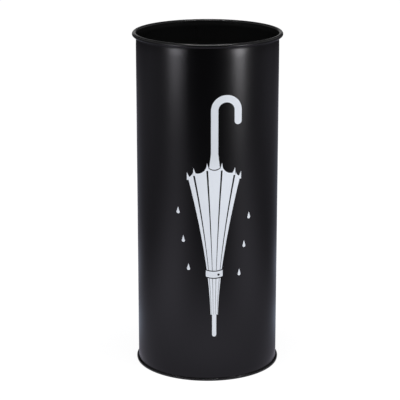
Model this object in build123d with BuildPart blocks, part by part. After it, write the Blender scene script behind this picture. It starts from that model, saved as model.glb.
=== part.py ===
"""Umbrella stand: a tall round tube of painted sheet steel with a rolled rim and a crimped base,
a lift-out drip tray inside, floor pads below and a printed film figure of a closed umbrella on the front.

The origin is on the floor at the middle of the stand, +Z is up and the film faces -Y. Millimetres.
"""

import math
import os

from build123d import *

# Driving dimensions of the steel body
stand_height = 490.0  # floor to the top of the rolled rim
body_diameter = 204.0  # outside of the wall
sheet = 0.6  # steel sheet of the body and of the base
rim_bead = 6.0  # outside diameter of the rolled rim
rim_turn = 290.0  # degrees that the sheet turns through in the rim
bend_radius = 1.0  # middle of the sheet where the wall turns out into the flange at the foot
flange_flat = 1.0  # flat of the flange beyond that bend

# Lap seam at the back of the wall
lap_width = 12.0
joggle_width = 5.0  # ramp where the outer layer steps up onto the inner one
lap_margin = 8.0  # the lap stops this far from the rim and from the hem

# Base plate, folded round the flange
hem_gap = 0.2  # between the edge of the flange and the fold
lip_gap = 0.3  # between the bend of the wall and the edge of the folded lip
pan_rise = 2.5  # how far the pan stands above the hem
pan_margin = 5.0  # from the inside of the wall to the foot of the pan's step
pan_step = 2.5  # width of the sloping step
pan_bend = 1.2
ring_margin = 4.0  # from the pads to the stiffening ring pressed into the pan
ring_width = 12.0
ring_rise = 1.6
ring_slope = 2.4

# Floor pads
pad_diameter = 22.0
pad_thickness = 3.5  # lifts the hem clear of the floor by the part that is more than pan_rise
pad_chamfer = 0.6
pad_margin = 5.0  # from the pan's step to the edge of a pad
pad_count = 4
pad_start = 45.0

# Drip tray
tray_clearance = 4.0  # between the tray's lip and the wall
tray_height = 34.0
tray_wall = 1.8
tray_draft = 4.0  # how much narrower the tray is at its floor than under its lip
tray_lip = 4.0  # width of the lip
tray_lip_drop = 5.0
tray_bend = 1.4  # bends of the lip
tray_corner = 6.0  # bend between the tray's wall and its floor
tray_foot = 2.4  # height of the foot ring
tray_foot_width = 2.4
tray_foot_margin = 6.0  # from the tray's wall to the foot ring
rib_count = 8
rib_width = 2.2
rib_height = 3.0
rib_margin = 13.0  # from the tray's wall to the ribs on its floor
rib_inner = 16.0  # from the tray's middle to the ribs

# Printed film on the front
film = 0.15
figure_low = 67.0  # tip of the ferrule above the floor
ferrule_length = 33.0
ferrule_width = 6.0
canopy_length = 202.0  # ferrule to the hem at the sides
canopy_half_foot = 5.4
canopy_half_hem = 38.0
canopy_flare = 1.6  # 1 is a straight cone, more opens late
canopy_stations = 5  # points that each pleat is drawn through
hem_peak = 15.0  # how much higher the hem is at the middle than at the sides
hem_dip = 0.22  # sag of the hem between two ribs, as a share of the distance between them
pleat_angles = (-90.0, -50.0, -16.0, 16.0, 50.0, 90.0)  # ribs seen round the furled canopy
pleat_gap = 2.6  # bare line along a pleat at the hem, narrower where the canopy is
tip_length = 7.0  # point of a rib above the hem
tip_root = 4.0  # and below it
tip_width = 5.0
collar_height = 20.0
collar_sink = 1.2  # the collar's foot starts this far below the middle of the hem
collar_sag = 2.5
collar_foot_width = 15.0
handle_width = 10.2
shaft_length = 61.0  # collar to where the crook starts
crook_radius = 16.6  # middle of the handle
crook_tail = 15.4
band_above_ferrule = 62.0
band_height = 9.0
band_sag = 2.2
band_gap = 1.5
band_overhang = 1.6
button_diameter = 3.4
drop_radius = 2.1
drop_length = 8.0  # middle of the drop's round end to its point
drop_rows = 3
drop_reach = 50.0  # axis of the figure to the drops of the top row
drop_inset = 7.0  # how much nearer each row below it stands
drop_top = 150.0  # top row above the ferrule
drop_pitch = 41.0
drop_stagger = 10.0  # how much lower the drops on the right are


# Sizes worked out from the driving dimensions
body_radius = body_diameter / 2
body_inside = body_radius - sheet
wall_middle = body_radius - sheet / 2
curl_radius = (rim_bead - sheet) / 2
curl_height = stand_height - rim_bead / 2

hem_height = pad_thickness - pan_rise
plate_level = hem_height + sheet / 2
flange_level = plate_level + sheet
lip_level = flange_level + sheet
hem_top = lip_level + sheet / 2
pan_level = plate_level + pan_rise
bend_edge = wall_middle + bend_radius
flange_edge = bend_edge + flange_flat
fold_centre = flange_edge + hem_gap
pan_edge = body_inside - pan_margin
pan_flat = pan_edge - pan_step
pad_circle = pan_flat - pad_margin - pad_diameter / 2
ring_outer = pad_circle - pad_diameter / 2 - ring_margin
ring_inner = ring_outer - ring_width

tray_seat = pan_level + sheet / 2
tray_top = tray_seat + tray_height
tray_floor = tray_seat + tray_foot + tray_wall / 2
lip_middle = body_inside - tray_clearance - tray_wall / 2
tray_side = lip_middle - tray_lip
tray_side_foot = tray_side - tray_draft
tray_foot_radius = tray_side_foot - tray_foot_margin
rib_outer = tray_side_foot - rib_margin

film_radius = body_radius + film
canopy_low = figure_low + ferrule_length
hem_side = canopy_low + canopy_length
hem_middle = hem_side + hem_peak
collar_low = hem_middle - collar_sink
collar_top = collar_low + collar_height
crook_level = collar_top + shaft_length
band_level = canopy_low + band_above_ferrule


def polar(radius: float, degrees: float) -> tuple[float, float]:
    """A point on a circle round the stand's axis, seen from above."""
    turn = math.radians(degrees)
    return radius * math.cos(turn), radius * math.sin(turn)


def arc_degrees(length: float, radius: float) -> float:
    """The angle that a length takes up round a circle."""
    return math.degrees(length / radius)


def canopy_half(height: float) -> float:
    """Half the width of the furled canopy: slim at the ferrule and flared at the hem."""
    share = (height - canopy_low) / canopy_length
    return canopy_half_foot + (canopy_half_hem - canopy_half_foot) * share**canopy_flare


def hem_level(reach: float) -> float:
    """Height of the hem at a rib, where reach runs from -1 to 1 across the canopy."""
    return hem_side + hem_peak * (1 - abs(reach) ** 2)


def pleat_line(reach: float, top: float) -> list[tuple[float, float]]:
    """Points up one pleat of the canopy, from the ferrule to a given height."""
    steps = [n / (canopy_stations - 1) for n in range(canopy_stations)]
    levels = [canopy_low + (hem_side - canopy_low) * step for step in steps]
    stretch = (top - canopy_low) / (hem_side - canopy_low)
    return [(reach * canopy_half(level), canopy_low + (level - canopy_low) * stretch) for level in levels]


os.makedirs("parts", exist_ok=True)

# Body shell: one sheet, flanged at the foot, rolled outwards at the rim and lapped at the back
with BuildPart() as body_shell:
    with BuildSketch(Plane.XZ) as shell_section:
        with BuildLine() as shell_middle:
            FilletPolyline(
                (flange_edge, flange_level),
                (wall_middle, flange_level),
                (wall_middle, curl_height),
                radius=bend_radius,
            )
            CenterArc((wall_middle + curl_radius, curl_height), curl_radius, 180, -rim_turn)
        trace(line_width=sheet)
    revolve(axis=Axis.Z)

    lap_low = hem_top + lap_margin
    lap_high = stand_height - rim_bead - lap_margin
    lap_turn = arc_degrees(lap_width, body_radius)
    lap_start = 90 - lap_turn / 2
    lap_end = lap_start + lap_turn
    joggle_end = lap_end + arc_degrees(joggle_width, body_radius)
    with BuildSketch(Plane.XY.offset(lap_low)) as lap_section:
        with BuildLine() as lap_outline:
            CenterArc((0, 0), body_radius + sheet, lap_start, lap_turn)
            Line(polar(body_radius + sheet, lap_end), polar(wall_middle, joggle_end))
            CenterArc((0, 0), wall_middle, lap_start, joggle_end - lap_start)
            Line(polar(wall_middle, lap_start), polar(body_radius + sheet, lap_start))
        make_face()
    extrude(amount=lap_high - lap_low)
body_shell.part.label = "body_shell"

# Base plate: a pressed pan whose edge is folded up and over the flange of the body
with BuildPart() as base_plate:
    with BuildSketch(Plane.XZ) as plate_section:
        with BuildLine() as plate_middle:
            Line((bend_edge + lip_gap, lip_level), (fold_centre, lip_level))
            CenterArc((fold_centre, flange_level), sheet, 90, -180)
            FilletPolyline(
                (fold_centre, plate_level),
                (pan_edge, plate_level),
                (pan_flat, pan_level),
                (ring_outer, pan_level),
                (ring_outer - ring_slope, pan_level + ring_rise),
                (ring_inner + ring_slope, pan_level + ring_rise),
                (ring_inner, pan_level),
                (0, pan_level),
                radius=pan_bend,
            )
        trace(line_width=sheet)
    revolve(axis=Axis.Z)
base_plate.part.label = "base_plate"

# Floor pads: foam discs stuck to the underside of the pan
floor_pads = []
for n in range(pad_count):
    with BuildPart() as floor_pad:
        with BuildSketch() as pad_outline:
            with Locations(polar(pad_circle, pad_start + n * 360 / pad_count)):
                Circle(pad_diameter / 2)
        extrude(amount=pad_thickness)
        chamfer(floor_pad.faces().sort_by(Axis.Z)[0].edges(), pad_chamfer)
    floor_pad.part.label = f"floor_pad_{n + 1}"
    floor_pads.append(floor_pad.part)

# Drip tray: a moulded dish that stands on its foot ring in the pan and lifts out through the rim
with BuildPart() as drip_tray:
    with BuildSketch(Plane.XZ) as tray_section:
        with BuildLine() as tray_middle:
            FilletPolyline(
                (lip_middle, tray_top - tray_lip_drop),
                (lip_middle, tray_top - tray_wall / 2),
                (tray_side, tray_top - tray_wall / 2),
                (tray_side_foot, tray_floor),
                (0, tray_floor),
                radius=(tray_bend, tray_bend, tray_corner),
            )
        trace(line_width=tray_wall)
    revolve(axis=Axis.Z)

    with BuildSketch(Plane.XY.offset(tray_seat)) as foot_outline:
        Circle(tray_foot_radius)
        Circle(tray_foot_radius - tray_foot_width, mode=Mode.SUBTRACT)
    extrude(amount=tray_foot + tray_wall / 2)

    with BuildSketch(Plane.XY.offset(tray_floor)) as rib_outline:
        with PolarLocations((rib_inner + rib_outer) / 2, rib_count):
            SlotOverall(rib_outer - rib_inner, rib_width)
    extrude(amount=tray_wall / 2 + rib_height)
drip_tray.part.label = "drip_tray"

# One falling drop of the figure, round below and pointed above
with BuildSketch() as rain_drop:
    Circle(drop_radius)
    tangent_turn = math.acos(drop_radius / drop_length)
    tangent_x = drop_radius * math.sin(tangent_turn)
    tangent_y = drop_radius * math.cos(tangent_turn)
    with BuildLine() as drop_sides:
        Polyline((-tangent_x, tangent_y), (0, drop_length), (tangent_x, tangent_y), close=True)
    make_face()

# Umbrella decal: a plain closed umbrella, handle up, wrapped round the front of the wall
with BuildPart() as umbrella_decal:
    with BuildSketch(Plane.XZ) as figure:
        # Gores of the canopy between the bare pleat lines, each with a sagging hem
        reaches = [math.sin(math.radians(angle)) for angle in pleat_angles]
        pleat_share = pleat_gap / 2 / canopy_half_hem
        for left, right in zip(reaches, reaches[1:]):
            with BuildLine() as gore_outline:
                left_side = Spline(*pleat_line(left + pleat_share, hem_level(left)))
                right_side = Spline(*pleat_line(right - pleat_share, hem_level(right)))
                hem_chord = right_side @ 1 - left_side @ 1
                hem_sag = left_side @ 1 + hem_chord / 2 - Vector(0, hem_dip * hem_chord.length)
                ThreePointArc(left_side @ 1, hem_sag, right_side @ 1)
                Line(left_side @ 0, right_side @ 0)
            make_face()
        # Tie band round the furled canopy, with a bare line above and below it and a button hole
        band_half = canopy_half(band_level) + band_overhang
        for height, mode in ((band_height + 2 * band_gap, Mode.SUBTRACT), (band_height, Mode.ADD)):
            low = band_level - height / 2
            high = band_level + height / 2
            with BuildLine() as band_outline:
                ThreePointArc((-band_half, low), (0, low - band_sag), (band_half, low))
                Line((band_half, low), (band_half, high))
                ThreePointArc((band_half, high), (0, high - band_sag), (-band_half, high))
                Line((-band_half, high), (-band_half, low))
            make_face(mode=mode)
        with Locations((band_half / 2, band_level - band_sag)):
            Circle(button_diameter / 2, mode=Mode.SUBTRACT)
        # Ferrule below the canopy
        with Locations((0, figure_low + ferrule_width / 2)):
            Circle(ferrule_width / 2)
            Rectangle(ferrule_width, ferrule_length - ferrule_width / 2, align=(Align.CENTER, Align.MIN))
        # Pointed tips of the ribs at the hem
        for reach in reaches:
            tip_x = reach * (canopy_half_hem - tip_width / 2)
            with BuildLine() as tip_outline:
                Polyline(
                    (tip_x - tip_width / 2, hem_level(reach) - tip_root),
                    (tip_x + tip_width / 2, hem_level(reach) - tip_root),
                    (reach * canopy_half_hem, hem_level(reach) + tip_length),
                    close=True,
                )
            make_face()
        # Collar, shaft and crook
        with BuildLine() as collar_outline:
            collar_half = collar_foot_width / 2
            ThreePointArc((-collar_half, collar_low), (0, collar_low - collar_sag), (collar_half, collar_low))
            Polyline(
                (collar_half, collar_low),
                (handle_width / 2, collar_top),
                (-handle_width / 2, collar_top),
                (-collar_half, collar_low),
            )
        make_face()
        with BuildLine() as crook_middle:
            Line((0, collar_top), (0, crook_level))
            CenterArc((crook_radius, crook_level), crook_radius, 180, -180)
            Line((2 * crook_radius, crook_level), (2 * crook_radius, crook_level - crook_tail))
        trace(line_width=handle_width)
        with Locations((2 * crook_radius, crook_level - crook_tail)):
            Circle(handle_width / 2)
        # Drops in a slanting row at each side
        for row in range(drop_rows):
            drop_x = drop_reach - row * drop_inset
            drop_level = canopy_low + drop_top - row * drop_pitch
            with Locations((-drop_x, drop_level), (drop_x, drop_level - drop_stagger)):
                add(rain_drop.sketch)
    extrude(amount=film_radius)
    with BuildSketch() as skin:
        Circle(film_radius)
        Circle(body_radius, mode=Mode.SUBTRACT)
    extrude(amount=stand_height, mode=Mode.INTERSECT)
umbrella_decal.part.label = "umbrella_decal"

for part in (body_shell.part, base_plate.part, *floor_pads, drip_tray.part, umbrella_decal.part):
    export_step(part, f"parts/{part.label}.step")
    print(part.label, len(part.solids()), "solids", round(part.volume), "mm3")
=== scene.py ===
"""Looks of a round sheet-steel umbrella stand in satin black with a white printed figure on the front.

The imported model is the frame. The tube, the base and the tray are replaced by finer surfaces of the same
sizes, with the lap seam and its weld marks. The pads and the printed film keep their solids and get
finishes. All lengths are metres. +Z is up and the print faces -Y.
"""

import logging
import math
from dataclasses import dataclass, field
from enum import Enum
from typing import Any, Callable, Sequence

import bpy
import numpy as np
from bpy.types import Material, NodeSocket, NodeTree, Object
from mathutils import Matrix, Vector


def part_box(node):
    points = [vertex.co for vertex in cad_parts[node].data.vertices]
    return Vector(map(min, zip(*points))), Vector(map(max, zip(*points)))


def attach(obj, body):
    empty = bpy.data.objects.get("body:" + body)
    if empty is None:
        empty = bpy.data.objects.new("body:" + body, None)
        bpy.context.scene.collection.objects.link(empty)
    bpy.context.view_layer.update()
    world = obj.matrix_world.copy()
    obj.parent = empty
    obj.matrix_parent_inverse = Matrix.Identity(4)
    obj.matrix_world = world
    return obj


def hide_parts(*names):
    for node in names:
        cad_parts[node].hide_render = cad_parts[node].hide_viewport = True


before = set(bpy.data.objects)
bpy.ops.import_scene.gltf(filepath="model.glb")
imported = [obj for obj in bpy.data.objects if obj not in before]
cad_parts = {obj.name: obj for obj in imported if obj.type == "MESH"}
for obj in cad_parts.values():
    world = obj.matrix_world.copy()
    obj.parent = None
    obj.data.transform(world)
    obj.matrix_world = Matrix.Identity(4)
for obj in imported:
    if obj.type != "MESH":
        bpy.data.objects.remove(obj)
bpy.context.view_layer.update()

LOG = logging.getLogger("umbrella_stand")
SAME_POINT = 1e-8
SHARP_ANGLE = 35.0
Array = np.ndarray
Colour = tuple[float, float, float]
# The two ends of a soft edge.
Edge = tuple[float, float]
Shift = Callable[[Array, Array, Array], Array]
Pieces = list[tuple[Object, str | None]]
WHITE: Colour = (1.0, 1.0, 1.0)
BLACK: Colour = (0.0, 0.0, 0.0)


class Body(Enum):
    """Rigid bodies of the stand."""

    STAND = "stand"
    TRAY = "tray"


class Slot(Enum):
    """Material slots that the new pieces belong to."""

    PAINT = "black_paint"
    TRAY = "tray_plastic"


# Sections and surfaces


def smooth_step(low: float, high: float, value: Array) -> Array:
    """0 below low, 1 above high and 3t^2 - 2t^3 in between."""
    share = np.clip((value - low) / (high - low), 0.0, 1.0)
    return share * share * (3.0 - 2.0 * share)


def left_of(way: Array) -> Array:
    """Directions turned a quarter to the left: (-y, x) for each (x, y)."""
    return np.stack([-way[..., 1], way[..., 0]], axis=-1)


def full_turn(count: int) -> Array:
    """Even angles once round, in radians."""
    return np.linspace(0.0, 2 * math.pi, count, endpoint=False)


def around(azimuth: float, distance: float, level: float) -> tuple[float, float, float]:
    """A place round the stand, with the azimuth in degrees from the front, positive to the right."""
    turn = math.radians(azimuth)
    return distance * math.sin(turn), -distance * math.cos(turn), level


@dataclass(frozen=True)
class Path:
    """A smooth line in the plane of radius and height, with the unit tangent at each point."""

    points: Array
    tangents: Array

    @classmethod
    def arc(cls, centre: Sequence[float], radius: float, start: float, sweep: float, steps: int) -> "Path":
        """A circular arc: centre plus radius times the unit vector at each angle.

        Args:
            centre: middle of the circle.
            radius: its radius.
            start: angle of the first point, in degrees.
            sweep: angle that the arc runs through, negative for clockwise.
            steps: number of spans.

        Returns:
            The arc as a path.
        """
        turn = np.radians(start + sweep * np.linspace(0.0, 1.0, steps + 1))
        out = np.stack([np.cos(turn), np.sin(turn)], axis=1)
        return cls(np.asarray(centre) + radius * out, np.sign(sweep) * left_of(out))

    @classmethod
    def straight(cls, first: Array, last: Array, way: Array, span: float) -> "Path":
        """A straight run in equal pieces.

        Args:
            first: first point.
            last: last point.
            way: unit vector along the run.
            span: longest piece.

        Returns:
            The run as a path.
        """
        count = max(1, math.ceil(float(np.linalg.norm(last - first)) / span))
        share = np.linspace(0.0, 1.0, count + 1)[:, None]
        return cls(first + (last - first) * share, np.repeat(way[None, :], count + 1, axis=0))

    @classmethod
    def joined(cls, pieces: Sequence["Path"]) -> "Path":
        """Several paths end to end, with the points that they share kept once.

        Args:
            pieces: the paths in order.

        Returns:
            One path.
        """
        points = np.concatenate([piece.points for piece in pieces])
        tangents = np.concatenate([piece.tangents for piece in pieces])
        gap = np.linalg.norm(np.diff(points, axis=0), axis=1)
        keep = np.concatenate([[True], gap > SAME_POINT])
        return cls(points[keep], tangents[keep])

    @classmethod
    def rounded(
        cls, corners: Sequence[Sequence[float]], radii: Sequence[float], span: float, steps: int = 8
    ) -> "Path":
        """A line through corners, with a tangent arc in place of each inner corner.

        A corner that turns by an angle a loses radius * tan(a / 2) of both its runs. The arc's centre lies
        that far along the first run and one radius to the side.

        Args:
            corners: end points and inner corners, as radius and height.
            radii: one radius for each inner corner.
            span: longest piece of a straight run.
            steps: spans of each arc.

        Returns:
            The rounded line.
        """
        corner = np.asarray(corners, float)
        run = np.diff(corner, axis=0)
        way = run / np.linalg.norm(run, axis=1, keepdims=True)
        heading = np.degrees(np.arctan2(way[:, 1], way[:, 0]))
        turn = (np.diff(heading) + 180.0) % 360.0 - 180.0
        lost = np.asarray(radii) * np.tan(np.radians(np.abs(turn)) / 2)
        cut = np.concatenate([[0.0], lost, [0.0]])[:, None]
        first = corner[:-1] + way * cut[:-1]
        last = corner[1:] - way * cut[1:]
        pieces = [cls.straight(first[0], last[0], way[0], span)]
        for n, bend in enumerate(turn):
            side = np.sign(bend)
            centre = last[n] + radii[n] * side * left_of(way[n])
            pieces.append(cls.arc(centre, radii[n], heading[n] - side * 90.0, bend, steps))
            pieces.append(cls.straight(first[n + 1], last[n + 1], way[n + 1], span))
        return cls.joined(pieces)

    def edge(self, end: int, half: float, start: float, steps: int) -> Array:
        """Half circle round one end of the path, anticlockwise.

        Args:
            end: index of the end point.
            half: radius of the half circle.
            start: angle of its first point from the tangent, in degrees.
            steps: number of spans.

        Returns:
            The points of the half circle.
        """
        tangent = self.tangents[end]
        heading = math.degrees(math.atan2(tangent[1], tangent[0]))
        return Path.arc(self.points[end], half, heading + start, 180.0, steps).points

    def sheet(self, thickness: float, from_axis: bool = False, edge_steps: int = 4) -> Array:
        """Section of a sheet whose middle is this path.

        Both sides are the path moved by half the thickness. A free edge is a half circle.

        Args:
            thickness: thickness of the sheet.
            from_axis: the path ends on the axis, where the section stays open for a pole.
            edge_steps: spans of the half circle at a free edge.

        Returns:
            The section's points: a closed loop, or a line from the axis round the sheet and back.
        """
        half = thickness / 2
        aside = half * left_of(self.tangents)
        start_edge = self.edge(0, half, 90.0, edge_steps)[1:-1]
        sides = [(self.points + aside)[::-1], start_edge, self.points - aside]
        if not from_axis:
            sides.append(self.edge(-1, half, -90.0, edge_steps)[1:-1])
        return np.concatenate(sides)


@dataclass
class Surface:
    """A mesh in the making: points, faces and a value at each point for every named attribute."""

    points: Array
    faces: list[Array]
    values: dict[str, Array] = field(default_factory=dict)

    @classmethod
    def turned(cls, section: Array, angles: Array, closed: bool, shift: Shift | None = None) -> "Surface":
        """A section carried round the Z axis.

        Point (i, j) is (r cos a, r sin a, z) for section point i and angle j, where shift may add to r. An
        open section starts and ends on the axis, and each end row becomes one point.

        Args:
            section: radius and height of each point.
            angles: angles round the axis in radians, ascending.
            closed: the section is a loop.
            shift: gives the change of radius from the grids of section index, angle and height.

        Returns:
            The closed surface.
        """
        index, angle = np.meshgrid(np.arange(len(section)), angles, indexing="ij")
        radius, height = section[index, 0], section[index, 1]
        if shift is not None:
            radius = radius + shift(index, angle, height)
        grid = np.stack([radius * np.cos(angle), radius * np.sin(angle), height], axis=2)
        rows, columns = index.shape
        number = index * columns + np.arange(columns)[None, :]
        ahead = np.roll(number, -1, axis=1)
        if closed:
            above, above_ahead = np.roll(number, -1, axis=0), np.roll(ahead, -1, axis=0)
            quads = np.stack([number, ahead, above_ahead, above], axis=2).reshape(-1, 4)
            return cls(grid.reshape(-1, 3), [quads]).outward()
        number, ahead = number[1:-1] - columns, ahead[1:-1] - columns
        quads = np.stack([number[:-1], ahead[:-1], ahead[1:], number[1:]], axis=2).reshape(-1, 4)
        pole = np.full(columns, (rows - 2) * columns)
        low = np.stack([pole, ahead[0], number[0]], axis=1)
        high = np.stack([pole + 1, number[-1], ahead[-1]], axis=1)
        points = np.concatenate([grid[1:-1].reshape(-1, 3), grid[[0, -1], 0]])
        return cls(points, [quads, low, high]).outward()

    @classmethod
    def patches(cls, grid: Array) -> "Surface":
        """Many small domes: grid[n, i, j] is point j round ring i of dome n.

        Args:
            grid: array of shape (domes, rings, points round, 3), the first ring outermost.

        Returns:
            All domes in one surface, with the first and the last ring closed by a face each.
        """
        number = np.arange(grid[..., 0].size).reshape(grid.shape[:3])
        ahead = np.roll(number, -1, axis=2)
        sides = [number[:, :-1], ahead[:, :-1], ahead[:, 1:], number[:, 1:]]
        quads = np.stack(sides, axis=3).reshape(-1, 4)
        return cls(grid.reshape(-1, 3), [quads, number[:, -1], number[:, 0, ::-1]]).outward()

    def outward(self) -> "Surface":
        """Turns the faces outwards, by the sign of the volume that they enclose.

        The volume is a sixth of the sum of a . (b x c) over a fan of triangles in each face.

        Returns:
            The surface with its faces as they are or all reversed.
        """
        volume = 0.0
        for face in self.faces:
            corner = self.points[face]
            fan = np.cross(corner[:, 1:-1], corner[:, 2:])
            volume += float(np.einsum("ik,ijk->", corner[:, 0], fan)) / 6
        faces = self.faces if volume > 0 else [face[:, ::-1] for face in self.faces]
        return Surface(self.points, faces, self.values)

    def joined(self, other: "Surface") -> "Surface":
        """This surface and another one in one mesh, without values."""
        faces = self.faces + [face + len(self.points) for face in other.faces]
        return Surface(np.concatenate([self.points, other.points]), faces)

    def piece(self, name: str, sharp: float = SHARP_ANGLE) -> Object:
        """Makes the mesh object.

        Args:
            name: name of the object.
            sharp: edges that turn by more than this many degrees are shaded sharp.

        Returns:
            The object, linked to the scene.
        """
        mesh = bpy.data.meshes.new(name)
        mesh.from_pydata(self.points.tolist(), [], [row for face in self.faces for row in face.tolist()])
        mesh.shade_smooth()
        mesh.set_sharp_from_angle(angle=math.radians(sharp))
        for key, value in self.values.items():
            attribute = mesh.attributes.new(key, "FLOAT", "POINT")
            attribute.data.foreach_set("value", value.astype(np.float32))
        mesh.update()
        made = bpy.data.objects.new(name, mesh)
        bpy.context.scene.collection.objects.link(made)
        return made


# Finishes


class Nodes:
    """A node tree that is filled by short calls."""

    def __init__(self, tree: NodeTree) -> None:
        """Empties the tree and keeps it."""
        self.tree = tree
        tree.nodes.clear()

    def add(self, kind: str, *values: Any, **named: Any) -> Any:
        """Adds a node.

        Args:
            kind: the node's type without its ShaderNode prefix.
            values: values or sockets for its first inputs, in order.
            named: properties in lower case, then values or sockets by input name, with _ for a space.

        Returns:
            The node.
        """
        node = self.tree.nodes.new("ShaderNode" + kind)
        for key, value in named.items():
            if key.islower():
                setattr(node, key, value)
            else:
                self.feed(node.inputs[key.replace("_", " ")], value)
        for socket, value in zip(node.inputs, values):
            self.feed(socket, value)
        return node

    def feed(self, socket: NodeSocket, value: Any) -> None:
        """Links a socket to an input or sets the input's value.

        Args:
            socket: the input.
            value: a socket, a number, a vector or a colour.
        """
        if isinstance(value, NodeSocket):
            self.tree.links.new(value, socket)
        elif isinstance(value, tuple) and len(value) == 3 and socket.type == "RGBA":
            socket.default_value = (*value, 1.0)
        else:
            socket.default_value = value

    def maths(self, operation: str, *values: Any) -> NodeSocket:
        """A Math node's result."""
        return self.add("Math", *values, operation=operation).outputs[0]

    def attribute(self, name: str) -> NodeSocket:
        """A named value of the piece's points."""
        return self.add("Attribute", attribute_name=name).outputs["Fac"]

    def noise(self, vector: Any, scale: Any, detail: float, roughness: float = 0.5) -> NodeSocket:
        """A noise texture's value."""
        node = self.add("TexNoise", Vector=vector, Scale=scale, Detail=detail, Roughness=roughness)
        return node.outputs["Fac"]

    def ramp(self, value: Any, edge: Edge) -> NodeSocket:
        """A value stretched smoothly, so that one end of a soft edge becomes 0 and the other 1."""
        return self.add("MapRange", value, *edge, interpolation_type="SMOOTHSTEP").outputs[0]

    def add_scaled(self, factor: Any, colour: Colour, below: Any) -> NodeSocket:
        """A colour times a factor, added to another colour."""
        return self.add("VectorMath", factor, colour, below, operation="MULTIPLY_ADD").outputs["Vector"]

    def mix(self, factor: Any, first: Any, second: Any) -> NodeSocket:
        """Two colours mixed.

        Args:
            factor: share of the second colour.
            first: a colour or socket.
            second: a colour or socket.

        Returns:
            The mixed colour.
        """
        node = self.add("Mix", data_type="RGBA")
        for index, value in ((0, factor), (6, first), (7, second)):
            self.feed(node.inputs[index], value)
        return node.outputs[2]

    def by_ray(self, plain: float, camera: Any, gloss: Any) -> NodeSocket:
        """Brightness of the background by the kind of ray that meets it.

        Args:
            plain: brightness for light that falls on the stand.
            camera: brightness in the picture.
            gloss: brightness in reflections and refractions.

        Returns:
            The brightness, plain + is_camera * (camera - plain) + is_mirrored * (gloss - plain).
        """
        ray = self.add("LightPath").outputs
        mirrored = self.maths("MAXIMUM", ray["Is Glossy Ray"], ray["Is Transmission Ray"])
        more = self.maths("SUBTRACT", camera, plain)
        seen = self.maths("MULTIPLY_ADD", ray["Is Camera Ray"], more, plain)
        return self.maths("MULTIPLY_ADD", mirrored, self.maths("SUBTRACT", gloss, plain), seen)


def new_material(name: str) -> tuple[Material, Nodes]:
    """An empty material.

    Args:
        name: name of the material.

    Returns:
        The material and its nodes.
    """
    made = bpy.data.materials.new(name)
    made.use_nodes = True
    return made, Nodes(made.node_tree)


class Effect(Enum):
    """Shared surface effects, each one a node group that is built once."""

    GRAIN = "surface_grain"
    DUST = "settled_dust"
    RUB = "rubbed_edge"

    def place(self, nodes: Nodes, **inputs: Any) -> Any:
        """Places the effect in a material.

        Args:
            nodes: the material's nodes.
            inputs: values or sockets by input name.

        Returns:
            The effect's output sockets.
        """
        build = {Effect.GRAIN: grain_group, Effect.DUST: dust_group, Effect.RUB: rub_group}[self]
        group = bpy.data.node_groups.get(self.value) or build(self.value)
        return nodes.add("Group", node_tree=group, **inputs).outputs


# Noise scales are in cells per metre, or a share of the grain's own scale.
SWELL_SHARE = 0.13
DRIFT_SHARE = 0.012
DRIFT_EDGE = (0.3, 0.7)
PATCH_SCALE = 34.0
PATCH_EDGE = (0.35, 0.75)
PATCH_WEIGHT = 0.5
SPECK_SCALE = 620.0
SPECK_EDGE = (0.66, 0.74)
SPECK_WEIGHT = 0.5
RUB_SCALE = 150.0
RUB_EDGE = (0.4, 0.7)


def new_group(name: str, inputs: dict[str, str], outputs: dict[str, str]) -> tuple[Nodes, Any, Any]:
    """An empty node group with named sockets.

    Args:
        name: name of the group.
        inputs: socket type by input name.
        outputs: socket type by output name.

    Returns:
        The group's nodes, its input sockets and its output sockets.
    """
    tree = bpy.data.node_groups.new(name, "ShaderNodeTree")
    for way, sockets in (("INPUT", inputs), ("OUTPUT", outputs)):
        for key, kind in sockets.items():
            tree.interface.new_socket(name=key, in_out=way, socket_type="NodeSocket" + kind)
    nodes = Nodes(tree)
    entry, leave = tree.nodes.new("NodeGroupInput"), tree.nodes.new("NodeGroupOutput")
    return nodes, entry.outputs, leave.inputs


def grain_group(name: str) -> NodeTree:
    """Fine grain over a slower swell: Height for a bump, and Shade, which drifts slowly.

    Args:
        name: name of the group.

    Returns:
        The node group.
    """
    inputs = {"Vector": "Vector", "Scale": "Float", "Swell": "Float"}
    nodes, given, result = new_group(name, inputs, {"Height": "Float", "Shade": "Float"})
    place, scale = given["Vector"], given["Scale"]
    fine = nodes.noise(place, scale, detail=2.0, roughness=0.55)
    swell = nodes.noise(place, nodes.maths("MULTIPLY", scale, SWELL_SHARE), detail=1.0)
    drift = nodes.noise(place, nodes.maths("MULTIPLY", scale, DRIFT_SHARE), detail=3.0)
    nodes.feed(result["Height"], nodes.maths("MULTIPLY_ADD", swell, given["Swell"], fine))
    nodes.feed(result["Shade"], nodes.ramp(drift, DRIFT_EDGE))
    return nodes.tree


def dust_group(name: str) -> NodeTree:
    """Dust in soft patches and single specks, where the piece's settle attribute is high.

    Args:
        name: name of the group.

    Returns:
        The node group.
    """
    inputs = {"Vector": "Vector", "Colour": "Color", "Dust": "Color", "Amount": "Float"}
    nodes, given, result = new_group(name, inputs, {"Colour": "Color", "Mask": "Float"})
    place = given["Vector"]
    patches = nodes.ramp(nodes.noise(place, PATCH_SCALE, detail=4.0, roughness=0.6), PATCH_EDGE)
    specks = nodes.ramp(nodes.noise(place, SPECK_SCALE, detail=1.0), SPECK_EDGE)
    specks = nodes.maths("MULTIPLY", specks, SPECK_WEIGHT)
    cover = nodes.maths("MULTIPLY_ADD", patches, PATCH_WEIGHT, specks)
    settled = nodes.maths("MULTIPLY", cover, nodes.attribute("settle"))
    mask = nodes.maths("MULTIPLY", settled, given["Amount"])
    nodes.feed(result["Mask"], mask)
    nodes.feed(result["Colour"], nodes.mix(mask, given["Colour"], given["Dust"]))
    return nodes.tree


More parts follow.
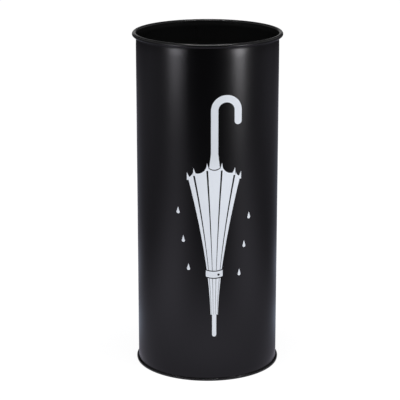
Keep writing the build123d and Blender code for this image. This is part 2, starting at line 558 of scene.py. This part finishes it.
def rub_group(name: str) -> NodeTree:
    """Edges polished by hands and floors, where the piece's rub attribute is high.

    Args:
        name: name of the group.

    Returns:
        The node group.
    """
    inputs = {"Vector": "Vector", "Colour": "Color", "Worn": "Color"}
    inputs |= {"Roughness": "Float", "Polish": "Float"}
    nodes, given, result = new_group(name, inputs, {"Colour": "Color", "Roughness": "Float"})
    rub = nodes.attribute("rub")
    broken = nodes.noise(given["Vector"], RUB_SCALE, detail=4.0, roughness=0.65)
    mask = nodes.maths("MULTIPLY", rub, nodes.ramp(broken, RUB_EDGE))
    nodes.feed(result["Colour"], nodes.mix(mask, given["Colour"], given["Worn"]))
    smoother = nodes.maths("MULTIPLY", rub, given["Polish"])
    nodes.feed(result["Roughness"], nodes.maths("SUBTRACT", given["Roughness"], smoother))
    return nodes.tree


@dataclass(frozen=True)
class Finish:
    """What all finishes have: a colour that drifts a little, a roughness and a fine relief."""

    name: str
    colour: Colour
    drift_colour: Colour
    roughness: float
    roughness_drift: float
    specular: float
    grain_scale: float
    grain_swell: float
    grain_depth: float

    def material(self) -> Material:
        """Builds the material.

        Returns:
            A material with one Principled shader.
        """
        made, nodes = new_material(self.name)
        place = nodes.add("TexCoord").outputs["Object"]
        grain = Effect.GRAIN.place(nodes, Vector=place, Scale=self.grain_scale, Swell=self.grain_swell)
        colour = nodes.mix(grain["Shade"], self.colour, self.drift_colour)
        roughness = nodes.maths("MULTIPLY_ADD", grain["Shade"], self.roughness_drift, self.roughness)
        colour, roughness = self.dress(nodes, place, colour, roughness)
        bump = nodes.add("Bump", Height=grain["Height"], Distance=self.grain_depth, Strength=1.0)
        normal = bump.outputs[0]
        shader = nodes.add("BsdfPrincipled", Base_Color=colour, Roughness=roughness, Normal=normal)
        nodes.feed(shader.inputs["Specular IOR Level"], self.specular)
        nodes.add("OutputMaterial", Surface=shader.outputs[0])
        return made

    def dress(self, nodes: Nodes, place: Any, colour: Any, roughness: Any) -> tuple[Any, Any]:
        """Adds what is special to a finish; a plain finish adds nothing."""
        return colour, roughness


@dataclass(frozen=True)
class DustyFinish(Finish):
    """A finish on which a little dust settles and dulls the surface."""

    dust: Colour
    dust_amount: float
    dust_roughness: float

    def dress(self, nodes: Nodes, place: Any, colour: Any, roughness: Any) -> tuple[Any, Any]:
        """Adds dust.

        Args:
            nodes: the material's nodes.
            place: object coordinates.
            colour: colour so far.
            roughness: roughness so far.

        Returns:
            The colour and the roughness.
        """
        inputs = {"Vector": place, "Colour": colour, "Dust": self.dust, "Amount": self.dust_amount}
        dusty = Effect.DUST.place(nodes, **inputs)
        dull = nodes.maths("MULTIPLY_ADD", dusty["Mask"], self.dust_roughness, roughness)
        return dusty["Colour"], dull


@dataclass(frozen=True)
class PaintFinish(DustyFinish):
    """Satin paint on sheet steel, rubbed at the rim and the hem, with painted light that lightens the
    tube's interior.
    """

    # Painted light: a lighter colour for the tube's interior, in place of light falling into it.
    inside: Colour
    worn: Colour
    polish: float

    def dress(self, nodes: Nodes, place: Any, colour: Any, roughness: Any) -> tuple[Any, Any]:
        """Adds painted light on the tube's interior, rubbed edges and dust.

        Args:
            nodes: the material's nodes.
            place: object coordinates.
            colour: colour so far.
            roughness: roughness so far.

        Returns:
            The colour and the roughness.
        """
        # Painted light: the interior mask mixes in the lighter interior colour.
        painted_interior_colour = nodes.mix(nodes.attribute("inside"), colour, self.inside)
        inputs = {"Vector": place, "Colour": painted_interior_colour, "Worn": self.worn}
        rubbed = Effect.RUB.place(nodes, Roughness=roughness, Polish=self.polish, **inputs)
        return super().dress(nodes, place, rubbed["Colour"], rubbed["Roughness"])


SATIN_BLACK = PaintFinish(
    name="satin_black_paint",
    colour=(0.0014, 0.0013, 0.0017),
    drift_colour=(0.0018, 0.0017, 0.0021),
    roughness=0.28,
    roughness_drift=0.02,
    specular=0.38,
    grain_scale=950.0,
    grain_swell=0.8,
    grain_depth=0.000025,
    dust=(0.16, 0.155, 0.15),
    dust_amount=0.05,
    dust_roughness=0.4,
    # Painted light on the tube's interior.
    inside=(0.0054, 0.0054, 0.0056),
    worn=(0.012, 0.012, 0.013),
    polish=0.05,
)
TRAY_PLASTIC = DustyFinish(
    name="black_tray_plastic",
    colour=(0.0075, 0.0075, 0.0080),
    drift_colour=(0.0095, 0.0095, 0.0100),
    roughness=0.52,
    roughness_drift=0.06,
    specular=0.4,
    grain_scale=1500.0,
    grain_swell=0.3,
    grain_depth=0.00003,
    dust=(0.2, 0.195, 0.185),
    dust_amount=0.12,
    dust_roughness=0.3,
)
PAD_FOAM = Finish(
    name="black_pad_foam",
    colour=(0.011, 0.011, 0.0115),
    drift_colour=(0.016, 0.016, 0.0165),
    roughness=0.82,
    roughness_drift=0.08,
    specular=0.25,
    grain_scale=1900.0,
    grain_swell=0.9,
    grain_depth=0.00012,
)
WHITE_PRINT = Finish(
    name="white_print_film",
    colour=(0.76, 0.805, 0.865),
    drift_colour=(0.8, 0.85, 0.9),
    roughness=0.44,
    roughness_drift=0.06,
    specular=0.35,
    grain_scale=1300.0,
    grain_swell=0.4,
    grain_depth=0.000008,
)


# Sub-assemblies


class SubAssembly:
    """New pieces of one body in one finish."""

    body = Body.STAND
    slot = Slot.PAINT

    def pieces(self) -> Pieces:
        """Makes the pieces, each with the node of the frame that it replaces, if any."""
        raise NotImplementedError

    def build(self, material: Material) -> list[Object]:
        """Makes the pieces and gives each one its finish and body.

        Args:
            material: the finish.

        Returns:
            The finished pieces.
        """
        pieces = self.pieces()
        for made, node in pieces:
            made.data.materials.append(material)
            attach(made, self.body.value)
            if node:
                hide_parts(node)
        return [made for made, _ in pieces]


@dataclass
class Tube(SubAssembly):
    """The steel tube: one sheet with a rolled rim, a foot flange and a welded lap seam at the back.

    The neck is where the rolling of the rim has drawn the wall in a little. The crown is the top of the
    rim, which hands rub, measured down from the top. The ledge is the flange, where dust settles, measured
    outwards from the wall.
    """

    sheet: float = 0.0006
    wall_share: float = 0.6
    rim_bead: float = 0.006
    rim_turn: float = 290.0
    curl_steps: int = 48
    neck_depth: float = 0.0003
    neck_start: float = 0.018
    neck_peak: float = 0.006
    neck_span: float = 0.0008
    bend_radius: float = 0.001
    flange_flat: float = 0.001
    flange_level: float = 0.0019
    hem_top: float = 0.0028
    lap_width: float = 0.012
    lap_margin: float = 0.008
    lap_fade: float = 0.004
    lap_edge: float = 0.00004
    clear_edges: int = 8
    lap_columns: int = 10
    joggle_width: float = 0.005
    joggle_columns: int = 6
    columns: int = 300
    row_span: float = 0.012
    weld_pitch: float = 0.044
    weld_radius: float = 0.0031
    weld_relief: float = 0.00016
    weld_reach: tuple[float, ...] = (1.0, 0.93, 0.8, 0.64, 0.5, 0.34, 0.12)
    weld_rise: tuple[float, ...] = (-0.4, 0.25, 0.85, 1.0, 0.55, 0.2, 0.12)
    weld_columns: int = 20
    weld_sharp: float = 60.0
    crown: Edge = (0.0022, 0.0002)
    crown_dust: float = 0.25
    ledge: Edge = (0.0002, 0.001)
    ledge_top: float = 0.01
    ledge_dust: float = 0.5

    def __post_init__(self) -> None:
        """Takes the height and the wall's radius from the frame and works out the seam's place."""
        _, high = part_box("body_shell")
        self.height = high.z
        self.curl_level = self.height - self.rim_bead / 2
        self.curl_radius = (self.rim_bead - self.sheet) / 2
        self.wall_middle = high.x - self.rim_bead / 2 - self.curl_radius
        self.wall_outside = self.wall_middle + self.sheet / 2
        self.lap_start = math.pi / 2 - self.lap_width / 2 / self.wall_outside
        self.lap_end = math.pi / 2 + self.lap_width / 2 / self.wall_outside
        self.joggle_end = self.lap_end + self.joggle_width / self.wall_outside
        self.lap_low = self.hem_top + self.lap_margin
        self.lap_high = self.height - self.rim_bead - self.lap_margin

    def pieces(self) -> Pieces:
        """Makes the shell and its weld marks."""
        return [(self.shell(), "body_shell"), (self.welds(), None)]

    def middle(self) -> Path:
        """Midline of the sheet: in along the flange, up the wall and round the rim's curl.

        Returns:
            The midline.
        """
        wall, flange = self.wall_middle, self.flange_level
        edge = wall + self.bend_radius + self.flange_flat
        neck_level = self.curl_level - self.neck_start
        corners = [(edge, flange), (wall, flange), (wall, neck_level)]
        side = Path.rounded(corners, [self.bend_radius], self.row_span)
        ends = np.array([(wall, neck_level), (wall, self.curl_level)])
        neck = Path.straight(*ends, np.array([0.0, 1.0]), self.neck_span)
        centre = (wall + self.curl_radius, self.curl_level)
        curl = Path.arc(centre, self.curl_radius, 180.0, -self.rim_turn, self.curl_steps)
        return Path.joined([side, neck, curl])

    def angles(self) -> Array:
        """Angles of the columns: even all round, and close together at the edges of the seam.

        Returns:
            The angles in radians, ascending.
        """
        even = full_turn(self.columns)
        edge = self.lap_edge / self.wall_outside
        clear = self.clear_edges * edge
        seam = [
            [self.lap_start - edge, self.lap_start + edge],
            np.linspace(self.lap_start + clear, self.lap_end, self.lap_columns),
            [self.lap_end + 2 * edge],
            np.linspace(self.lap_end, self.joggle_end, self.joggle_columns)[1:],
        ]
        plain = even[(even < self.lap_start - clear) | (even > self.joggle_end + clear)]
        return np.sort(np.concatenate([plain, *seam]))

    def neck(self, height: Array) -> Array:
        """How far the wall is drawn in: a parabola up to the peak, then smoothly back.

        Args:
            height: heights of points on the wall.

        Returns:
            The depth at each height.
        """
        start, peak = self.curl_level - self.neck_start, self.curl_level - self.neck_peak
        drawn = np.clip((height - start) / (peak - start), 0.0, 1.0)
        return self.neck_depth * drawn**2 * (1 - smooth_step(peak, self.curl_level, height))

    def seam_shift(self, section: Array) -> Shift:
        """The lap seam and the neck as a change of radius.

        Outside, the radius grows by one sheet between the two edges of the lap and falls back along the
        joggle. Inside, it grows by one sheet at the edge of the inner layer and falls back along the same
        ramp, which leaves a groove.

        Args:
            section: the section's points.

        Returns:
            A function of section index, angle and height.
        """
        on_wall = np.abs(section[:, 0] - self.wall_middle) < self.wall_share * self.sheet
        outside = on_wall & (section[:, 0] > self.wall_middle)

        def shift(index: Array, angle: Array, height: Array) -> Array:
            """Change of radius on a grid.

            Args:
                index: section index.
                angle: angle in radians.
                height: height.

            Returns:
                What is added to the radius.
            """
            begun = smooth_step(self.lap_low - self.lap_fade, self.lap_low, height)
            ended = smooth_step(self.lap_high, self.lap_high + self.lap_fade, height)
            ramp = np.clip((self.joggle_end - angle) / (self.joggle_end - self.lap_end), 0.0, 1.0)
            first_edge = np.where(outside[index], self.lap_start, self.lap_end)
            seam = self.sheet * begun * (1 - ended) * np.where(angle > first_edge, ramp, 0.0)
            return np.where(on_wall[index], seam - self.neck(height), 0.0)

        return shift

    def shell(self) -> Object:
        """The tube's surface, with attributes for the rubbed rim, the interior's painted light and the
        dust.

        Returns:
            The piece.
        """
        section, angles = self.middle().sheet(self.sheet), self.angles()
        surface = Surface.turned(section, angles, True, self.seam_shift(section))
        x, y, height = surface.points.T
        low, high = self.crown
        crown = smooth_step(self.height - low, self.height - high, height)
        inner, outer = self.ledge
        ledge = smooth_step(self.wall_outside + inner, self.wall_outside + outer, np.hypot(x, y))
        ledge = ledge * (height < self.ledge_top)
        # Mask of the tube's interior, where painted light lightens the paint.
        inside = np.repeat(section[:, 0] < self.wall_middle, len(angles))
        surface.values["rub"] = crown
        surface.values["inside"] = inside * (1 - crown)
        surface.values["settle"] = self.crown_dust * crown + self.ledge_dust * ledge
        return surface.piece("tube_shell")

    def welds(self) -> Object:
        """Spot-weld marks down the middle of the lap.

        Each mark is a shallow ring round a dent: its height over the sheet follows a fixed profile from
        edge to middle, turned round the mark's own axis and laid on the cylinder.

        Returns:
            The piece, all marks in one mesh.
        """
        low, high = self.lap_low + self.weld_pitch / 2, self.lap_high - self.weld_pitch / 2
        level = np.linspace(low, high, round((high - low) / self.weld_pitch) + 1)
        reach = self.weld_radius * np.array(self.weld_reach)[:, None]
        rise = self.weld_relief * np.array(self.weld_rise)[:, None]
        turn = full_turn(self.weld_columns)
        side, up = reach * np.cos(turn), reach * np.sin(turn)
        radius = self.wall_outside + self.sheet + rise
        angle = (self.lap_start + self.lap_end) / 2 + side / self.wall_outside
        flat = np.stack([radius * np.cos(angle), radius * np.sin(angle), up], axis=2)
        grid = flat[None] + level[:, None, None, None] * np.array([0.0, 0.0, 1.0])
        return Surface.patches(grid).piece("seam_welds", self.weld_sharp)


@dataclass
class Base(SubAssembly):
    """The pressed base: a pan with a stiffening ring, folded up and over the tube's flange."""

    tube: Tube
    hem_gap: float = 0.0002
    lip_gap: float = 0.0003
    pan_rise: float = 0.0025
    pan_margin: float = 0.005
    pan_step: float = 0.0025
    pan_bend: float = 0.0012
    pad_margin: float = 0.005
    ring_margin: float = 0.004
    ring_width: float = 0.012
    ring_rise: float = 0.0016
    ring_slope: float = 0.0024
    columns: int = 300
    row_span: float = 0.012
    rub_width: float = 0.0006
    dust: float = 0.4

    def pieces(self) -> Pieces:
        """Makes the base, which is one pressing."""
        return [(self.pressing(), "base_plate")]

    def middle(self) -> Path:
        """Midline of the sheet: out along the folded lip, round the hem, in across the pan.

        Returns:
            The midline, which ends on the axis.
        """
        tube, sheet = self.tube, self.tube.sheet
        lip, plate = tube.flange_level + sheet, tube.flange_level - sheet
        pan = plate + self.pan_rise
        bend_edge = tube.wall_middle + tube.bend_radius
        fold = bend_edge + tube.flange_flat + self.hem_gap + sheet
        pan_edge = tube.wall_middle - sheet / 2 - self.pan_margin
        pad_low, pad_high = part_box("floor_pad_1")
        pad_width = pad_high.x - pad_low.x
        ring_outer = pan_edge - self.pan_step - self.pad_margin - pad_width - self.ring_margin
        ring_inner = ring_outer - self.ring_width
        corners = [
            (bend_edge + self.lip_gap, lip),
            (fold, lip),
            (fold, plate),
            (pan_edge, plate),
            (pan_edge - self.pan_step, pan),
            (ring_outer, pan),
            (ring_outer - self.ring_slope, pan + self.ring_rise),
            (ring_inner + self.ring_slope, pan + self.ring_rise),
            (ring_inner, pan),
            (0.0, pan),
        ]
        return Path.rounded(corners, [sheet, sheet, *[self.pan_bend] * 6], self.row_span)

    def pressing(self) -> Object:
        """The base's surface, rubbed at its edge and dusty on the folded lip.

        Returns:
            The piece.
        """
        section = self.middle().sheet(self.tube.sheet, from_axis=True)
        section[[0, -1], 0] = 0.0
        surface = Surface.turned(section, full_turn(self.columns), False)
        x, y, height = surface.points.T
        radius = np.hypot(x, y)
        surface.values["rub"] = smooth_step(radius.max() - self.rub_width, radius.max(), radius)
        surface.values["settle"] = self.dust * (height > self.tube.flange_level)
        return surface.piece("base_pan")


@dataclass
class Tray(SubAssembly):
    """The moulded drip tray: a dish with a turned-down lip, a foot ring and radial ribs on its floor."""

    body = Body.TRAY
    slot = Slot.TRAY
    wall: float = 0.0018
    lip: float = 0.004
    lip_drop: float = 0.005
    lip_round: float = 0.0007
    lip_inner: float = 2.6
    lip_outer: float = 3.0
    draft: float = 0.004
    corner: float = 0.0051
    corner_steps: int = 6
    foot: float = 0.0024
    foot_width: float = 0.0024
    foot_margin: float = 0.006
    rib_count: int = 8
    rib_width: float = 0.0022
    rib_height: float = 0.003
    rib_round: float = 0.0007
    rib_sink: float = 0.0004
    rib_inner: float = 0.016
    rib_margin: float = 0.013
    rib_top: float = 0.96
    rib_end_points: int = 9
    rib_round_points: int = 6
    edge_round: float = 0.0004
    columns: int = 240
    row_span: float = 0.01

    def __post_init__(self) -> None:
        """Takes the tray's seat, height and radius from the frame."""
        low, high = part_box("drip_tray")
        self.seat, self.top, self.radius = low.z, high.z, high.x
        self.side = self.radius - self.wall / 2 - self.lip
        self.side_foot = self.side - self.draft
        self.floor_low = self.seat + self.foot
        self.floor_top = self.floor_low + self.wall

    def pieces(self) -> Pieces:
        """Makes the tray, which is one moulding."""
        return [(self.moulding(), "drip_tray")]

    def section(self) -> Array:
        """Outline of the dish from the axis over the floor, up and over the lip, down the outside and back.

        Returns:
            Radius and height of its points.
        """
        half, wall, small = self.wall / 2, self.wall, self.edge_round
        foot_outer = self.side_foot - self.foot_margin
        foot_inner = foot_outer - self.foot_width
        under_lip, lip_foot = self.top - wall, self.top - self.lip_drop
        line = [
            (0.0, self.floor_top, 0.0),
            (self.side_foot - half, self.floor_top, self.corner),
            (self.side - half, self.top, self.lip_inner * self.lip_round),
            (self.radius, self.top, self.lip_outer * self.lip_round),
            (self.radius, lip_foot, small),
            (self.radius - wall, lip_foot, small),
            (self.radius - wall, under_lip, self.lip_round),
            (self.side + half, under_lip, self.lip_round),
            (self.side_foot + half, self.floor_low, self.corner + wall),
            (foot_outer, self.floor_low, small),
            (foot_outer, self.seat, small),
            (foot_inner, self.seat, small),
            (foot_inner, self.floor_low, small),
            (0.0, self.floor_low, 0.0),
        ]
        corners = [(radius, height) for radius, height, _ in line]
        bends = [bend for *_, bend in line[1:-1]]
        return Path.rounded(corners, bends, self.row_span, self.corner_steps).points

    def ribs(self) -> Surface:
        """Radial ribs with round ends and a rounded top.

        Each rib is a stadium outline, two half circles on a straight run, carried inwards and upwards along
        a quarter round: ring i lies inset[i] within the outline at height[i].

        Returns:
            All ribs in one surface.
        """
        half = self.rib_width / 2
        fan = np.linspace(-math.pi / 2, math.pi / 2, self.rib_end_points)
        turn = np.concatenate([fan, fan + math.pi])
        ends = (self.side_foot - self.rib_margin - half, self.rib_inner + half)
        middle = np.repeat(ends, self.rib_end_points)
        quarter = np.linspace(0.0, math.pi / 2, self.rib_round_points)
        inset = np.concatenate([[0.0], self.rib_round * (1 - np.cos(quarter)), [self.rib_top * half]])
        rise = self.rib_height - self.rib_round + self.rib_round * np.sin(quarter)
        height = self.floor_top + np.concatenate([[-self.rib_sink], rise, [self.rib_height]])
        reach = (half - inset)[:, None]
        along, across = middle + reach * np.cos(turn), reach * np.sin(turn)
        spin = full_turn(self.rib_count)[:, None, None]
        x = along * np.cos(spin) - across * np.sin(spin)
        y = along * np.sin(spin) + across * np.cos(spin)
        z = np.broadcast_to(height[:, None], x.shape)
        return Surface.patches(np.stack([x, y, z], axis=3))

    def moulding(self) -> Object:
        """The dish with its ribs, with most dust on the floor and none on the lip.

        Returns:
            The piece.
        """
        dish = Surface.turned(self.section(), full_turn(self.columns), False)
        surface = dish.joined(self.ribs())
        share = (surface.points[:, 2] - self.floor_top) / (self.top - self.floor_top)
        surface.values["settle"] = np.clip(1.0 - share, 0.0, 1.0)
        return surface.piece("tray_dish")


def dress_node(name: str, material: Material) -> Object:
    """Gives a solid of the frame a finish.

    Args:
        name: the node.
        material: its finish.

    Returns:
        The node's object.
    """
    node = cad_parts[name]
    node.data.materials.clear()
    node.data.materials.append(material)
    return node


# Studio


@dataclass(frozen=True)
class SoftBox:
    """A rectangular lamp that faces the stand."""

    name: str
    azimuth: float
    width: float
    radiance: float
    colour: Colour = WHITE
    tall: float = 0.21
    distance: float = 1.1
    level: float = 0.415
    aim_level: float = 0.415

    def build(self) -> None:
        """Makes the lamp, with the power that gives its radiance: power = radiance * pi * area.

        All its light goes by shadow rays, so that the flags can stop it.
        """
        lamp = bpy.data.lights.new(self.name, "AREA")
        lamp.shape = "RECTANGLE"
        lamp.size, lamp.size_y = self.width, self.tall
        lamp.energy = self.radiance * math.pi * self.width * self.tall
        lamp.color = self.colour
        lamp.cycles.use_multiple_importance_sampling = False
        made = bpy.data.objects.new(self.name, lamp)
        drop = math.atan2(self.level - self.aim_level, self.distance)
        made.location = around(self.azimuth, self.distance, self.level)
        made.rotation_euler = (math.pi / 2 - drop, 0.0, math.radians(self.azimuth))
        made.visible_camera = False
        bpy.context.scene.collection.objects.link(made)


@dataclass(frozen=True)
class Flag:
    """A black card, square to a lamp's line, that shades part of the stand.

    Inner and outer are how far its two upright edges lie to the right of that line as seen from the lamp.
    """

    name: str
    azimuth: float
    inner: float
    outer: float
    distance: float = 0.2
    low: float = 0.05
    high: float = 0.56

    def build(self) -> None:
        """Makes the card. Only shadow rays meet it, so it is neither seen nor mirrored."""
        turn = math.radians(self.azimuth)
        right = np.array([math.cos(turn), math.sin(turn), 0.0])
        across = np.array([self.inner, self.outer, self.outer, self.inner])
        points = np.array(around(self.azimuth, self.distance, 0.0)) + across[:, None] * right
        points[:, 2] = [self.low, self.low, self.high, self.high]
        made = Surface(points, [np.array([[0, 1, 2, 3]])]).piece(self.name)
        black, nodes = new_material(self.name)
        nodes.add("OutputMaterial", Surface=nodes.add("BsdfDiffuse", Color=BLACK).outputs[0])
        made.data.materials.append(black)
        made.visible_camera = False
        made.visible_diffuse = False
        made.visible_glossy = False
        made.visible_transmission = False


WARM_TINT: Colour = (1.0, 0.965, 1.14)
COOL_TINT: Colour = (0.76, 0.97, 1.27)


def tinted(level: float, tint: Colour) -> Colour:
    """A tint times a level."""
    red, green, blue = tint
    return level * red, level * green, level * blue


@dataclass(frozen=True)
class Pool:
    """A pool of light on the sweep: level * tint * exp(-(distance / radius)^2) round its middle."""

    x: float
    y: float
    radius: float
    level: float
    tint: Colour = WARM_TINT

    def glow(self, nodes: Nodes, place: Any, below: Any) -> Any:
        """Adds the pool to a glow.

        Args:
            nodes: nodes of the floor.
            place: the floor's object coordinates.
            below: glow so far, as a colour.

        Returns:
            The glow with the pool.
        """
        span = nodes.add("VectorMath", place, (self.x, self.y, 0.0), operation="DISTANCE")
        share = nodes.maths("DIVIDE", span.outputs["Value"], self.radius)
        square = nodes.maths("MULTIPLY", share, share)
        fall = nodes.maths("EXPONENT", nodes.maths("MULTIPLY", square, -1.0))
        return nodes.add_scaled(fall, tinted(self.level, self.tint), below)


@dataclass(frozen=True)
class Studio:
    """A pale sweep under two upright soft boxes and one overhead, with flags and the camera.

    Values named gloss are brightness in reflections. The ends of a soft edge are distances from the
    stand's axis on the floor, and parts of a unit direction in the world.
    """

    boxes: tuple[SoftBox, ...]
    flags: tuple[Flag, ...]
    pools: tuple[Pool, ...]
    floor_half: float = 60.0
    floor_colour: Colour = (0.16, 0.16, 0.165)
    floor_white_near: float = 0.9
    floor_white_far: float = 0.94
    lit_edge: Edge = (0.15, 1.4)
    floor_glow: float = 0.46
    base_gloss: float = 0.02
    foot_gloss: float = 0.3
    foot_edge: Edge = (0.12, 0.1045)
    # Where the painted contact shadow under the foot fades to the plain floor.
    painted_contact_shadow_edge: Edge = (0.104, 0.105)
    hollow_edge: Edge = (0.1022, 0.1042)
    world_light: float = 0.47
    world_gloss: float = 0.05
    back_gloss: float = 0.42
    back_edge: Edge = (0.9, 0.985)
    side_gloss: float = 0.4
    side_edge: Edge = (0.45, 0.85)
    side_rise: Edge = (0.02, 0.2)
    under_gloss: float = 1.1
    under_edge: Edge = (-0.7, 0.7)
    under_drop: Edge = (-0.1, -0.4)
    camera_distance: float = 2.3
    camera_level: float = 0.8901
    camera_azimuth: float = -5.6
    camera_pitch: float = 15.761
    camera_yaw: float = 0.267
    camera_lens: float = 147.3
    camera_sensor: float = 36.0

    def floor_gloss(self, nodes: Nodes, place: Any, away: Any) -> Any:
        """The floor as reflections show it: pools of light, and a ring of light round the foot.

        Args:
            nodes: nodes of the floor.
            place: the floor's object coordinates.
            away: distance from the stand's axis.

        Returns:
            The colour.
        """
        gloss: Any = tinted(self.base_gloss, WARM_TINT)
        for pool in self.pools:
            gloss = pool.glow(nodes, place, gloss)
        foot = nodes.ramp(away, self.foot_edge)
        return nodes.add_scaled(foot, tinted(self.foot_gloss, WARM_TINT), gloss)

    def floor(self) -> None:
        """The sweep: pale and lit by the lamps, with enough glow to be white in the picture, and a painted
        contact shadow, black, under the edge of the stand's foot.

        It is open from below, and open to light under the stand, so that the base can be looked at from
        there.
        """
        sweep, nodes = new_material("pale_sweep")
        place = nodes.add("TexCoord").outputs["Object"]
        ray = nodes.add("LightPath").outputs
        mirrored = ray["Is Glossy Ray"]
        away = nodes.add("VectorMath", place, operation="LENGTH").outputs["Value"]
        gloss = self.floor_gloss(nodes, place, away)
        # Painted contact shadow: clear is 0 under the foot's edge and blackens both the floor's glow in the
        # picture and its lit colour.
        clear = nodes.ramp(away, self.painted_contact_shadow_edge)
        rise = self.floor_white_far - self.floor_white_near
        white = nodes.maths("MULTIPLY_ADD", nodes.ramp(away, self.lit_edge), rise, self.floor_white_near)
        strength = nodes.by_ray(self.floor_glow, nodes.maths("MULTIPLY", white, clear), 1.0)
        glow = nodes.add("Emission", Color=nodes.mix(mirrored, WHITE, gloss), Strength=strength)
        pale = nodes.mix(clear, BLACK, self.floor_colour)
        matt = nodes.add("BsdfDiffuse", Color=nodes.mix(mirrored, pale, BLACK))
        lit = nodes.add("AddShader", glow.outputs[0], matt.outputs[0])
        unseen = nodes.maths("SUBTRACT", 1.0, ray["Is Camera Ray"])
        inner = nodes.maths("SUBTRACT", 1.0, nodes.ramp(away, self.hollow_edge))
        below = nodes.add("NewGeometry").outputs["Backfacing"]
        opening = nodes.maths("MAXIMUM", below, nodes.maths("MULTIPLY", inner, unseen))
        air = nodes.add("BsdfTransparent")
        sided = nodes.add("MixShader", opening, lit.outputs[0], air.outputs[0])
        nodes.add("OutputMaterial", Surface=sided.outputs[0])
        corners = self.floor_half * np.array([[-1, -1, 0], [1, -1, 0], [1, 1, 0], [-1, 1, 0]], float)
        floor = Surface(corners, [np.array([[0, 1, 2, 3]])]).piece("sweep_floor")
        floor.data.materials.append(sweep)

    def world(self) -> None:
        """Dim light from all round, white where the camera looks past the floor.

        Reflections show a glow behind and at both sides, for the rim, and one below, for the base.
        """
        world = bpy.data.worlds.new("studio_world")
        bpy.context.scene.world = world
        world.use_nodes = True
        nodes = Nodes(world.node_tree)
        way = nodes.add("SeparateXYZ", nodes.add("TexCoord").outputs["Generated"]).outputs
        behind = nodes.ramp(way["Y"], self.back_edge)
        below = nodes.ramp(way["Z"], self.under_drop)
        below = nodes.maths("MULTIPLY", below, nodes.ramp(way["X"], self.under_edge))
        aside = nodes.ramp(nodes.maths("ABSOLUTE", way["X"]), self.side_edge)
        aside = nodes.maths("MULTIPLY", aside, nodes.ramp(way["Z"], self.side_rise))
        gloss: Any = self.world_gloss
        glows = ((behind, self.back_gloss), (below, self.under_gloss), (aside, self.side_gloss))
        for share, level in glows:
            gloss = nodes.maths("MULTIPLY_ADD", share, level, gloss)
        strength = nodes.by_ray(self.world_light, 1.0, gloss)
        light = nodes.add("Background", Color=WHITE, Strength=strength)
        nodes.add("OutputWorld", Surface=light.outputs[0])

    def camera(self) -> None:
        """The camera, a little to the left of the stand's front as in the picture."""
        lens = bpy.data.cameras.new("studio_camera")
        lens.sensor_width = self.camera_sensor
        lens.lens = self.camera_lens
        made = bpy.data.objects.new("studio_camera", lens)
        made.location = around(self.camera_azimuth, self.camera_distance, self.camera_level)
        turn = math.radians(self.camera_azimuth) + math.radians(self.camera_yaw)
        made.rotation_euler = (math.radians(90.0 - self.camera_pitch), 0.0, turn)
        bpy.context.scene.collection.objects.link(made)
        bpy.context.scene.camera = made

    def build(self) -> None:
        """Sets up floor, world, lamps, flags and camera."""
        self.floor()
        self.world()
        for lamp_or_flag in (*self.boxes, *self.flags):
            lamp_or_flag.build()
        self.camera()
        bpy.context.scene.view_settings.view_transform = "Standard"


# Azimuths of the two upright lamps, in degrees.
RIGHT_LAMP = 44.0
LEFT_LAMP = -55.0

STUDIO = Studio(
    boxes=(
        SoftBox("right_box", RIGHT_LAMP, 0.28, 19.0, (1.0, 0.985, 1.03)),
        SoftBox("left_box", LEFT_LAMP, 0.36, 9.5, (1.0, 0.98, 1.06)),
        SoftBox("top_box", 0.0, 1.2, 14.0, tall=0.36, distance=0.24, level=1.95, aim_level=0.3),
    ),
    flags=(
        Flag("right_flag", RIGHT_LAMP, 0.02, 0.14),
        Flag("left_flag", LEFT_LAMP, -0.02, -0.14),
        Flag("left_front_flag", LEFT_LAMP, 0.06, 0.14, distance=0.125, low=0.325),
    ),
    pools=(
        Pool(0.0, -0.31, 0.235, 0.64),
        Pool(0.0, 0.45, 0.45, 0.3),
        Pool(0.7, -0.55, 0.36, 0.7),
        Pool(-0.7, -0.55, 0.36, 0.65),
        Pool(0.42, -0.26, 0.27, 0.45),
        Pool(-0.42, -0.22, 0.27, 0.64),
        Pool(2.2, 0.3, 1.2, 0.26),
        Pool(-2.2, 0.3, 1.2, 0.29),
        Pool(0.8, 1.6, 0.7, 0.12),
        Pool(-0.8, 1.6, 0.7, 0.12),
        Pool(0.04, 0.42, 0.12, 1.4),
        Pool(0.08, 0.9, 0.2, 2.4),
        Pool(0.15, 1.7, 0.34, 3.0),
        Pool(-0.155, 0.165, 0.09, 0.26, COOL_TINT),
        Pool(-0.26, 0.43, 0.13, 0.17, COOL_TINT),
        Pool(-0.45, 0.98, 0.3, 0.09, COOL_TINT),
        Pool(0.18, 0.145, 0.09, 0.32, COOL_TINT),
        Pool(0.33, 0.39, 0.13, 0.22, COOL_TINT),
        Pool(0.62, 0.88, 0.3, 0.1, COOL_TINT),
    ),
)


def main() -> None:
    """Builds the sub-assemblies in order, dresses the solids that stay and sets up the studio."""
    logging.basicConfig(level=logging.INFO, format="%(name)s: %(message)s")
    paint = SATIN_BLACK.material()
    tube = Tube()
    pieces = tube.build(paint)
    pieces += Base(tube).build(paint)
    pieces += Tray().build(TRAY_PLASTIC.material())
    pieces.append(dress_node("umbrella_decal", WHITE_PRINT.material()))
    foam = PAD_FOAM.material()
    pads = [name for name in sorted(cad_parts) if name.startswith("floor_pad")]
    pieces += [dress_node(name, foam) for name in pads]
    for made in pieces:
        LOG.info("%s: %d faces", made.name, len(made.data.polygons))
    STUDIO.build()


if __name__ == "__main__":
    main()
